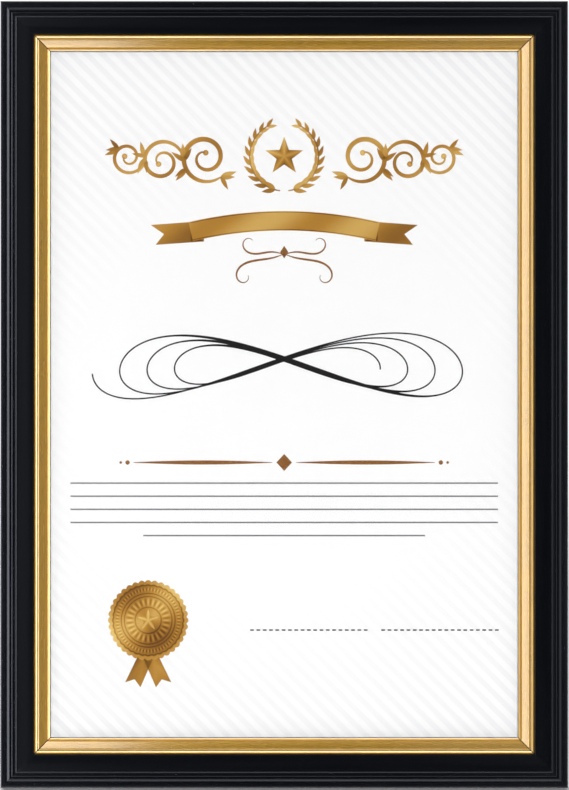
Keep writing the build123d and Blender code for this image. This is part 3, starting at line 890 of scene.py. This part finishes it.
def faced_fibreboard(node, place, origin, normal, thickness):
    """Fibreboard faced with black paper on both sides, as backs and struts are: matt black with a
    felt grain, and raw brown at its cut edges, where the depth through the board lies between the
    two papers. Depth is measured along the board's own normal from its inner face."""
    finish, half, paper = settings("finish"), thickness / 2, 0.14 * MM
    level = node("VectorMath", [place, normal], operation="DOT_PRODUCT")
    off = node("Math", [level, float(np.dot(origin, normal)) + half], operation="SUBTRACT")
    depth = node("Math", [off], operation="ABSOLUTE")
    core = node("MapRange", [depth, half - paper, half - paper / 2, 1, 0])
    # Felt is about 1.4 mm, ten times the real paper's, so that it shows, and scuffs 35 mm
    felt = node("TexNoise", [place, 700, 5, 0.7])
    scuff = node("MapRange", [node("TexNoise", [place, 28, 6, 0.65]), 0.5, 0.8, 0, 0.5])
    tone = node("MapRange", [felt, 0.3, 0.7])
    felted = node("Mix", [tone, finish.board, linear("#27272A")], data_type="RGBA")
    face = node("Mix", [scuff, felted, linear("#3C3C3F")], data_type="RGBA")
    fibre = node("Mix", [tone, finish.board_core, linear("#8D7355")], data_type="RGBA")
    return node("BsdfPrincipled", {
        "Base Color": node("Mix", [core, face, fibre], data_type="RGBA"),
        "Roughness": node("MapRange", [felt, 0, 1, 0.55, 0.8]),
        "IOR": 1.45,
        "Normal": node("Bump", {"Height": felt, "Strength": 0.6, "Distance": 0.12 * MM}),
    })


def bright_zinc_plate(node, place):
    """Bright zinc on stamped steel: a cool grey metal with faint yellow and blue passivation in
    clouds of 2 to 3 mm, rolling lines 0.1 mm apart and 8 mm long, and duller spots."""
    ramp = node("ValToRGB", [node("TexNoise", [place, 420, 5])])
    middle = 0.5, settings("finish").zinc
    set_stops(ramp.node.color_ramp, (0.3, linear("#B2B6BA")), middle, (0.72, linear("#C2C0B9")))
    rolled_place = node("Mapping", {"Vector": place, "Scale": (120, 9000, 120)})
    rolled = node("TexNoise", [rolled_place, 1, 3])
    return node("BsdfPrincipled", {
        "Base Color": ramp,
        "Metallic": 1,
        "Roughness": node("MapRange", [rolled, 0, 1, 0.22, 0.5]),
        "Normal": node("Bump", {"Height": rolled, "Strength": 0.15, "Distance": 0.04 * MM}),
    })


def plain_bright_steel(node, place):
    """Plain drawn and headed steel: bright, slightly warm, with a grain of 0.7 mm and dull flecks
    of 2 to 3 mm."""
    grain, flecks = node("TexNoise", [place, 1400, 4]), node("TexNoise", [place, 420, 3])
    dull = node("MapRange", [flecks, 0.4, 0.75])
    steel = [dull, settings("finish").steel, linear("#8F8B86")]
    return node("BsdfPrincipled", {
        "Base Color": node("Mix", steel, data_type="RGBA"),
        "Metallic": 1,
        "Roughness": node("MapRange", [flecks, 0, 1, 0.2, 0.45]),
        "Normal": node("Bump", {"Height": grain, "Strength": 0.12, "Distance": 0.03 * MM}),
    })


def pale_studio_floor(node, place):
    """Pale matt board that keeps the object's shadow, and clears towards the white round it, from
    0.26 m to 0.62 m from the middle."""
    grain = node("MapRange", [node("TexNoise", [place, 60, 3]), 0, 1, 0.985, 1])
    shade = {"data_type": "RGBA", "blend_type": "MULTIPLY"}
    base = node("Mix", [1, settings("stage").floor, grain], **shade)
    reach = node("VectorMath", [place], operation="LENGTH")
    fade = node("MapRange", [reach, 0.26, 0.62], interpolation_type="SMOOTHSTEP")
    return node("MixShader", [fade, node("BsdfDiffuse", [base]), node("BsdfTransparent")])


# Heads of the hardware


def dome(radius, side, crown, steps):
    """Profile of a domed head: a quarter of an ellipse, r cos t and side + (crown - side) sin t,
    that ends on the axis."""
    return [radius, crown - side] * unit(np.linspace(0, 0.5 * math.pi, steps)) + [0, side]


def button(h):
    """A stamped button: the hull of two circles. A direction p round it belongs to the tip's
    circle where cos p is over (R - r) / reach, and otherwise to the large one, and the edge
    is drawn in by an inset along p. The hole's own points are evenly spaced. Rows go round
    the plate's section, so the grid closes both ways: under, round the rolled edge, over,
    and down the hole."""
    tip_steps, hole_ease = 19, 0.12 * MM
    limit = math.acos((h.button_radius - h.button_tip) / h.button_reach)
    sweeps = [(-limit, limit, tip_steps), (limit, 2 * math.pi - limit, 37)]
    p = np.concatenate([np.linspace(*sweep) for sweep in sweeps])
    on_tip = (np.arange(len(p)) < tip_steps)[:, None]
    e, low, high = h.button_round, h.button_bottom, h.button_top
    x, y = unit(np.linspace(0, 0.5 * math.pi, 5)).T
    edge = [*zip(e * (1 - y), low + e * 0.5 * (1 - x)), *zip(e * (1 - x), high - e * (1 - y))]
    centre = np.where(on_tip, [[0, h.button_reach]], [[0, 0]])
    radius = np.where(on_tip, h.button_tip, h.button_radius)
    turn = (np.arange(len(p)) - tip_steps // 2) * 2 * math.pi / len(p)
    hole, soft = (r * unit(turn)[:, ::-1] for r in (h.button_hole, h.button_hole + hole_ease))
    rim = [(centre + (radius - inset) * unit(p)[:, ::-1], level) for inset, level in edge]
    middle_low, middle_high = (0.5 * (rim[k][0] + soft) for k in (0, -1))
    rings = [
        (hole, low + hole_ease), (soft, low), (middle_low, low), *rim,
        (middle_high, high), (soft, high), (hole, high - hole_ease),
    ]
    points = np.concatenate([np.c_[ring, np.full(len(p), level)] for ring, level in rings])
    return points, [grid(len(rings), len(p), close_rows=True)]


def screw(h):
    """A pan-head screw with a cross recess. Its dome is radius (1 - t^1.6), with the height of
    a flattened circle. The height is lowered where the point lies in one of two crossed slots,
    by a depth that fades towards their ends."""
    crown, seat, shank = h.screw_crown, h.screw_seat, h.screw_shank
    side = seat + 0.35 * (crown - seat)
    radius = h.screw_head * (1 - np.linspace(0, 1, 22)[:-1] ** 1.6)
    level = side + (crown - side) * np.sqrt(1 - (radius / h.screw_head) ** 2.6)
    profile = [
        (0, -h.screw_depth), (0.35 * shank, -h.screw_depth), (shank, 1.6 * shank - h.screw_depth),
        (shank, seat), (h.screw_head - 0.15 * MM, seat), (h.screw_head, seat + 0.15 * MM),
        *zip(radius, level), (0, crown),
    ]

    def slot(a, b):
        inside = 1 / (1 + np.exp((np.abs(a) - 0.36 * MM) / (0.035 * MM)))
        return inside * np.minimum(1, 2.2 * np.clip(1 - np.abs(b) / (1.7 * MM), 0, 1))

    def recess(x, y, height):
        deep = np.maximum(slot(x, y), slot(y, x)) * 0.75 * MM
        return np.where(height > side, height - deep, height)

    return lathe(profile, 96, recess)


# Stage


def stand(name, data, back, up, place=(0, 0, 0)):
    """Links an object whose own z points to back and whose y points up."""
    made = bpy.data.objects.new(name, data)
    bpy.context.scene.collection.objects.link(made)
    columns = np.stack([np.cross(up, back), up, back, place], axis=1)
    made.matrix_world = Matrix([*columns.tolist(), (0, 0, 0, 1)])
    return made


def daylight(name, elevation, azimuth, level, spread):
    """Broad directional light for matt faces. At level 1 it alone shows a colour as it is
    written on a face square to it, which takes pi watts per square metre."""
    data = bpy.data.lights.new(name, "SUN")
    data.energy, data.angle = level * math.pi, math.radians(spread)
    (flat, high), (ahead, aside) = unit(np.radians([elevation, azimuth]))
    back = np.array([flat * aside, -flat * ahead, high])
    side = np.cross([0, 0, 1], back)
    up = np.cross(back, side / np.linalg.norm(side))
    stand(name, data, back, up).visible_glossy = False


def softbox(name, place, back, along, length, width, radiance):
    """A long softbox that shows only in polished faces. Its back is given, its width lies along
    another direction, and its power is pi times its area times its radiance."""
    data = bpy.data.lights.new(name, "AREA")
    data.shape, data.size, data.size_y = "RECTANGLE", length, width
    data.energy = math.pi * length * width * radiance
    made = stand(name, data, back, along, place)
    made.visible_camera = made.visible_diffuse = False


def surroundings(stage):
    """White where the camera sees past the object, an even plain level for matt faces, and for
    polished faces white behind the object and a dim studio on the camera's side, by the
    direction's own y."""
    world = bpy.context.scene.world = bpy.data.worlds.new("studio")
    world.use_nodes = True
    world.node_tree.nodes.clear()
    node = partial(add, world.node_tree)
    seen_by = node("LightPath").node.outputs
    direction = node("TexCoord", output="Generated")
    backwards = node("VectorMath", [direction, (0, 1, 0)], operation="DOT_PRODUCT")
    turns_pale, all_white = 0.35, 0.75
    polished = [backwards, turns_pale, all_white, stage.dark_level, 1]
    mirrored = node("MapRange", polished, interpolation_type="SMOOTHSTEP")
    level = node("Mix", [seen_by["Is Glossy Ray"], stage.plain_level, mirrored])
    through = [seen_by["Is Camera Ray"], seen_by["Is Transmission Ray"]]
    strength = node("Mix", [node("Math", through, operation="MAXIMUM"), level, 1])
    node("OutputWorld", {"Surface": node("Background", [(1, 1, 1, 1), strength])})


# Operators


class CERTFRAME_OT_rails(bpy.types.Operator):
    """Makes the four black rails from their stepped section"""

    bl_idname = "certframe.rails"
    bl_label = "Black rails"

    def execute(self, context):
        m = settings("moulding")
        top, width, r, n = m.depth, m.width, m.edge_round, m.inner_round
        quarter = 1 - math.sqrt(0.5)
        round_end = (width - n, m.inner_level)
        outline = [
            [(0, m.back_inset), (0, top - r)],
            arc((0, top - r), (r, top), r * quarter, 8)[1:],
            [(m.band_end, top), (m.band_end, m.quirk_level), (m.bead_start, m.quirk_level)],
            arc((m.bead_start, m.bead_low), (m.bead_end, m.bead_high), m.bead_rise, 14),
            [(m.bead_end, m.inner_bead_level), (m.step_end, m.inner_bead_level)],
            arc((m.step_end, m.inner_bead_low), (m.inner_bead_end, m.inner_bead_high),
                m.inner_bead_rise, 12),
            [(m.inner_bead_end, m.channel_level), (m.channel_end, m.channel_level)],
            arc((m.channel_end, m.ridge_low), (m.ridge_end, m.ridge_high), m.ridge_rise, 10),
            [(m.ridge_end, m.channel_level)],
            arc((m.ridge_end, m.channel_level), round_end, -m.scoop_sag, 30)[1:],
            arc(round_end, (width, m.inner_level - n), n * quarter, 8)[1:],
            [(width, m.ledge_level), (m.wall, m.ledge_level), (m.wall, m.back_inset)],
        ]
        make_sides(
            "moulded_rail_", "rail_", "black_moulding", material_of(satin_black_foil), m,
            outline, 0.015 * MM, lambda place, level: level < 0.2 * MM, [],
        )
        dress(material_of(plain_bright_steel), "corner_wedges")
        return {"FINISHED"}


class CERTFRAME_OT_slips(bpy.types.Operator):
    """Makes the four gilt slips from their section, with the core unfoiled along their mitres, and
    dark core painted as shade in the gap beside the moulding and on the raw cut edge at the sight
    """

    bl_idname = "certframe.slips"
    bl_label = "Gilt slips"

    def execute(self, context):
        s = settings("slip")
        outline = [
            [(s.flange_edge, s.under), (s.flange_edge, s.flange_level),
             (s.shoulder_start, s.flange_level), (s.shoulder_start, s.shoulder_level),
             (s.bead_start, s.shoulder_level)],
            arc((s.bead_start, s.bead_low), (s.bead_end, s.bead_high), s.bead_rise, 14),
            [(s.quirk_start, s.quirk_level), (s.quirk_end, s.quirk_level)],
            arc((s.crest_start, s.crest_level), (s.crest_end, s.crest_level), s.crest_rise, 8),
            arc((s.crest_end, s.crest_level), (s.cove_end, s.cove_level), -s.cove_sag, 22)[1:],
            arc((s.cove_end, s.cove_level), (s.lip_end, s.lip_level), s.lip_rise, 14)[1:],
            [(s.sight_edge, s.sight_level), (s.sight_edge, s.under)],
        ]

        # Dark core: the flange and the underside are unfoiled, the shoulder beside the moulding is
        # painted dark as the shade of the gap there, and the cut edge at the sight is a raw edge
        # that also stands for the shade along the sight
        def bare(place, level):
            outside = (place < s.bead_start + 0.04 * MM) & (level < s.shoulder_level + 0.3 * MM)
            return outside | (level < s.under + 0.1 * MM) | (place > s.lip_end + 0.02 * MM)

        make_sides(
            "stamped_slip_", "gilt_slip_", "gilt_foil", material_of(stamped_gold_foil), s,
            outline, 0.07 * MM, bare, [0, 1, -2, -1],
        )
        return {"FINISHED"}


class CERTFRAME_OT_pack(bpy.types.Operator):
    """Gives the glass its finish and makes the sheet behind it"""

    bl_idname = "certframe.pack"
    bl_label = "Glass and sheet"

    def execute(self, context):
        dress(material_of(clear_float_glass), "glazing")
        sheet = settings("sheet")
        across, up = np.tile([[-1, 1, 1, -1], [-1, -1, 1, 1]], 2)
        out = np.repeat([sheet.back_level, sheet.face_level], 4)
        middle = settings("stance").height / 2
        points = on_board(across * sheet.width / 2, up * sheet.height / 2 + middle, out)
        faces = [np.concatenate([grid(2, 4), [[3, 2, 1, 0], [4, 5, 6, 7]]])]
        make_piece(
            "certificate_sheet", (points, outwards(points, faces)),
            material_of(smooth_white_card), "frame", "white_card", "certificate", 30,
        )
        return {"FINISHED"}


class CERTFRAME_OT_print(bpy.types.Operator):
    """Prints the sheet: a crest, a blank ribbon, flourishes, rules and a foil seal"""

    bl_idname = "certframe.print"
    bl_label = "Print and seal"

    def execute(self, context):
        gold = [*wreath((0, 98), 14.2, 5.6), star((0, 98), 8.2, 3.3), *ribbon()]
        brown = [plate([(0, 61.2), (1.7, 58.6), (0, 56), (-1.7, 58.6)], (0, 58.6))]
        grey, black = [], [figure_eights()]
        for flip in (1, -1):
            gold += scrollwork(flip)
            # A small flourish under the ribbon, and a rule that ends in two dots
            lower = running_curve((0, 58), -0.5, 32, (2.2, 1, -1, -5, -11, -18), 110)
            upper = running_curve((0, 57.5), 0.45, 25, (-2.2, -2, 3, 8, 14))
            brown.append(stroke(lower * [flip, 1], swelling(110, 0.45, 0.12)))
            brown.append(stroke(upper * [flip, 1], swelling(90, 0.4, 0.1)))
            rule = np.linspace((5 * flip, -28), (62 * flip, -28), 60)
            brown.append(stroke(rule, swelling(60, 0.85, 0.12, 1.0)))
            brown += [dot((64.5 * flip, -28), 0.9), dot((67.3 * flip, -28), 0.55)]
        brown.append(plate([(0, -24.5), (3.2, -28), (0, -31.5), (-3.2, -28)], (0, -28)))
        # Five ruled lines, and two dashed ones at the bottom
        for line, half in enumerate((88, 88, 88, 88, 58)):
            level = -36.5 - 5.4 * line
            grey.append(stroke(np.linspace((-half, level), (half, level), 9), 0.3))
        for first in (-14, 40):
            starts = first + 2.6 * np.arange(19)
            black += [stroke([(x, -97), (x + 0.75, -97), (x + 1.5, -97)], 0.3) for x in starts]
        print_piece("gold_printing", gold, material_of(gold_ink))
        for name, code, pale, shapes in (
            ("black", "#141213", "#2A2829", black),
            ("brown", "#875628", "#A97B45", brown),
            ("grey", "#747476", "#8B8B8D", grey),
        ):
            ink = material_of(plain_ink, name + "_ink", code, pale)
            print_piece(name + "_printing", shapes, ink)
        print_piece("gold_seal", seal((-56, -93), 15.8), material_of(gold_ink))
        return {"FINISHED"}


class CERTFRAME_OT_back(bpy.types.Operator):
    """Gives the back board, the strut and their hinge their finishes, and makes the rivets"""

    bl_idname = "certframe.back"
    bl_label = "Back board and strut"

    def execute(self, context):
        h, lean = settings("hardware"), settings("stance").lean
        fold = JOINTS["strut_fold"]
        hinge, leaf_thickness = np.array(fold["pos_m"]), h.knuckle - h.knuckle_bore
        # The strut stands open by the whole of its joint's range
        back, strut = rear_axes(lean), rear_axes(lean - math.radians(fold["range_deg"][1]))
        steel, zinc = material_of(plain_bright_steel), material_of(bright_zinc_plate)
        dress(steel, "hinge_pin")
        dress(zinc, "hinge_board_leaf", "hinge_strut_leaf", "hanger_portrait", "hanger_landscape")
        head = [(h.rivet_head - 0.15 * MM, 0), (h.rivet_head, 0.1 * MM),
                *dome(h.rivet_head, 0.2 * h.rivet_height, h.rivet_height, 9)]
        shank = [(h.rivet_shank, 0), *head]
        foot = -h.board_thickness - leaf_thickness
        plain = [(0, foot), (h.rivet_shank, foot), *shank]
        under = -h.strut_thickness - leaf_thickness
        foot = under - h.rivet_tail_height
        tail = [(0, foot), (h.rivet_tail - 0.4 * MM, foot),
                (h.rivet_tail - 0.1 * MM, under - h.rivet_tail_height / 2),
                (h.rivet_tail, under), (h.rivet_shank, under), *shank]
        # Rivets lie across and along from the hinge pin, their heads sit on the leaf's outer face,
        # and the inner face and thickness are those of what they go through
        for name, dressed, body, profile, axes, across, along, seat, inner, thickness in (
            ("board", "back_board", "frame", plain, back, h.board_rivet_across, h.rivet_along,
             -h.knuckle_bore, -h.knuckle - h.board_thickness, h.board_thickness),
            ("strut", "strut", "strut", tail, strut, h.strut_rivet_across, -h.rivet_along,
             h.knuckle, h.knuckle_bore - h.strut_thickness, h.strut_thickness),
        ):
            inner = hinge + np.array(axes[2]) * inner
            board = material_of(faced_fibreboard, "faced_" + dressed, inner, axes[2], thickness)
            dress(board, dressed)
            pair = (-across, along, seat), (across, along, seat)
            places = [(placed(rivet, hinge, axes), axes) for rivet in pair]
            make_piece(
                f"headed_{name}_rivets", repeated(lathe(profile, 40), places), steel, body,
                "bright_steel", f"hinge_{name}_rivets", 50,
            )
        return {"FINISHED"}


class CERTFRAME_OT_buttons(bpy.types.Operator):
    """Makes the eight turn buttons, each on the body that turns with it, and their screws"""

    bl_idname = "certframe.buttons"
    bl_label = "Turn buttons and screws"

    def execute(self, context):
        h, zinc = settings("hardware"), material_of(bright_zinc_plate)
        places = []
        for number in range(1, 9):
            body = f"turn_button_{number}"
            pivot = np.array(JOINTS[body + "_turn"]["pos_m"])
            places.append((pivot, self.inward_axes(pivot)))
            shape = repeated(button(h), places[-1:])
            make_piece(f"stamped_button_{number}", shape, zinc, body, "zinc_plate", body, 50)
        make_piece(
            "pan_head_screws", repeated(screw(h), places), material_of(plain_bright_steel),
            "frame", "bright_steel", "turn_button_screws",
        )
        return {"FINISHED"}

    @staticmethod
    def inward_axes(pivot):
        """Axes of a button at rest: across it, inwards from its rail, and out of the back."""
        stance = settings("stance")
        x_axis, y_axis, z_axis = np.array(rear_axes(stance.lean))
        local = pivot - [0, stance.rear_edge, 0]
        along, up = local @ x_axis, local @ y_axis - stance.height / 2
        if stance.width / 2 - abs(along) < stance.height / 2 - abs(up):
            inward = -math.copysign(1, along) * x_axis
        else:
            inward = -math.copysign(1, up) * y_axis
        return np.cross(inward, z_axis), inward, z_axis


class CERTFRAME_OT_nails(bpy.types.Operator):
    """Makes the four nails that hold the two sawtooth hangers"""

    bl_idname = "certframe.nails"
    bl_label = "Hanger nails"

    def execute(self, context):
        h, stance = settings("hardware"), settings("stance")
        side = h.nail_seat + 0.3 * (h.nail_crown - h.nail_seat)
        # The shank ends in a blunt point
        profile = [
            (0, -h.nail_depth + 0.7 * MM), (h.nail_shank, -h.nail_depth + 1.6 * MM),
            (h.nail_shank, h.nail_seat), (h.nail_head - 0.1 * MM, h.nail_seat),
            *dome(h.nail_head, side, h.nail_crown, 7),
        ]
        axes = np.array(rear_axes(stance.lean))
        places = []
        for node in ("hanger_portrait", "hanger_landscape"):
            low, high = np.array(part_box(node))
            upright = high[0] - low[0] < high[2] - low[2]
            middle, along = (low + high) / 2, axes[1 if upright else 0]
            seat = middle - axes[2] * ((middle - [0, stance.rear_edge, 0]) @ axes[2])
            places += [(seat + along * end * h.nail_reach, axes) for end in (-1, 1)]
        make_piece(
            "headed_nails", repeated(lathe(profile, 32), places),
            material_of(plain_bright_steel), "frame", "bright_steel", "hanger_nails",
        )
        return {"FINISHED"}


class CERTFRAME_OT_stage(bpy.types.Operator):
    """Makes the camera, the floor, the lamps and the surroundings"""

    bl_idname = "certframe.stage"
    bl_label = "Stage"

    def execute(self, context):
        s, stance, scene = settings("stage"), settings("stance"), bpy.context.scene
        across, up, out = on_board(*np.eye(3)) - on_board(0, 0, 0)
        face = on_board(0, stance.height / 2, settings("moulding").depth)

        data = bpy.data.cameras.new("photo_camera")
        data.lens, data.sensor_width, data.clip_end = s.lens, SENSOR, 50
        eye = face + across * s.view_across - up * s.view_down
        eye = eye + out * (s.view_height * s.lens / SENSOR)
        scene.camera = stand("photo_camera", data, out, up, eye)

        mesh = bpy.data.meshes.new("studio_floor")
        ring = 1.4 * unit(np.linspace(0, 2 * math.pi, 96, endpoint=False))
        mesh.from_pydata(np.c_[ring, np.zeros(96)].tolist(), [], [list(range(96))])
        mesh.materials.append(material_of(pale_studio_floor))
        floor = bpy.data.objects.new("studio_floor", mesh)
        scene.collection.objects.link(floor)
        floor.visible_glossy = False

        surroundings(s)
        scene.view_settings.view_transform = "Standard"
        daylight("front_daylight", 15, 0, s.front_level, 10)
        daylight("top_daylight", 70, 180, s.top_level, 20)
        daylight("back_daylight", 25, 205, s.back_level, 20)

        edges = {
            "left": (-across, stance.width / 2, s.bead_left, s.gilt_left),
            "right": (across, stance.width / 2, s.bead_right, s.gilt_right),
            "top": (up, stance.height / 2, s.bead_top, s.gilt_top),
            "bottom": (-up, stance.height / 2, s.bead_bottom, s.gilt_bottom),
        }
        for side, (away, half, bead, gilt) in edges.items():
            for strip, gap, width, ahead, level in (
                ("_bead_strip", s.bead_gap, s.bead_width, s.bead_ahead, bead),
                ("_gilt_strip", s.gilt_gap, s.gilt_width, s.gilt_ahead, gilt),
            ):
                place = face + away * (half + gap + width / 2) + out * ahead
                softbox(side + strip, place, out, away, STRIP, width, level)
        # Upright panels: two along the sides, and two each along the top and the bottom, by where
        # their middles lie across
        for name, middle, length, level in (
            ("left", 0, STRIP, s.panel_left),
            ("right", 0, STRIP, s.panel_right),
            ("top_left", -0.19, 0.23, s.panel_left),
            ("top_right", 0.18, 0.24, s.panel_ends),
            ("bottom_left", -0.19, 0.23, s.panel_left),
            ("bottom_right", 0.18, 0.24, s.panel_ends),
        ):
            away, half = edges[name.split("_")[0]][:2]
            place = face + away * (half + s.panel_gap) + out * s.panel_ahead + across * middle
            softbox(name + "_panel", place, away, out, length, s.panel_width, level)
        screens_ahead = 0.95
        for name, aside, above, length, width in (
            ("right_screen", 0.44, 0.0, 0.6, 0.62),
            ("low_left_screen", -0.2, -0.45, 0.44, 0.21),
            ("high_left_screen", -0.2, 0.45, 0.44, 0.21),
        ):
            place = face + across * aside + up * above + out * screens_ahead
            softbox(name, place, out, across, length, width, s.screen_level)
        return {"FINISHED"}


class CERTFRAME_PT_panel(bpy.types.Panel):
    """Lists the pieces of the frame and their settings"""

    bl_idname = "CERTFRAME_PT_panel"
    bl_label = "Certificate frame"
    bl_space_type = "VIEW_3D"
    bl_region_type = "UI"
    bl_category = "Certificate frame"

    def draw(self, context):
        for operator in OPERATORS:
            self.layout.operator(operator.bl_idname)
        for group, kind in SETTINGS.items():
            box = self.layout.box()
            box.label(text=group.capitalize())
            for name in kind.__annotations__:
                box.prop(settings(group), name)


OPERATORS = [
    CERTFRAME_OT_rails,
    CERTFRAME_OT_slips,
    CERTFRAME_OT_pack,
    CERTFRAME_OT_print,
    CERTFRAME_OT_back,
    CERTFRAME_OT_buttons,
    CERTFRAME_OT_nails,
    CERTFRAME_OT_stage,
]


def register():
    """Makes the settings, operators and panel known."""
    for group, kind in SETTINGS.items():
        bpy.utils.register_class(kind)
        setattr(bpy.types.Scene, "certificate_frame_" + group, bpy.props.PointerProperty(type=kind))
    for kind in [*OPERATORS, CERTFRAME_PT_panel]:
        bpy.utils.register_class(kind)


def unregister():
    """Takes them away again."""
    for kind in [CERTFRAME_PT_panel, *reversed(OPERATORS)]:
        bpy.utils.unregister_class(kind)
    for group, kind in SETTINGS.items():
        delattr(bpy.types.Scene, "certificate_frame_" + group)
        bpy.utils.unregister_class(kind)


def main():
    """Makes every piece and the stage."""
    register()
    for operator in OPERATORS:
        module, name = operator.bl_idname.split(".")
        getattr(getattr(bpy.ops, module), name)()


if __name__ == "__main__":
    main()
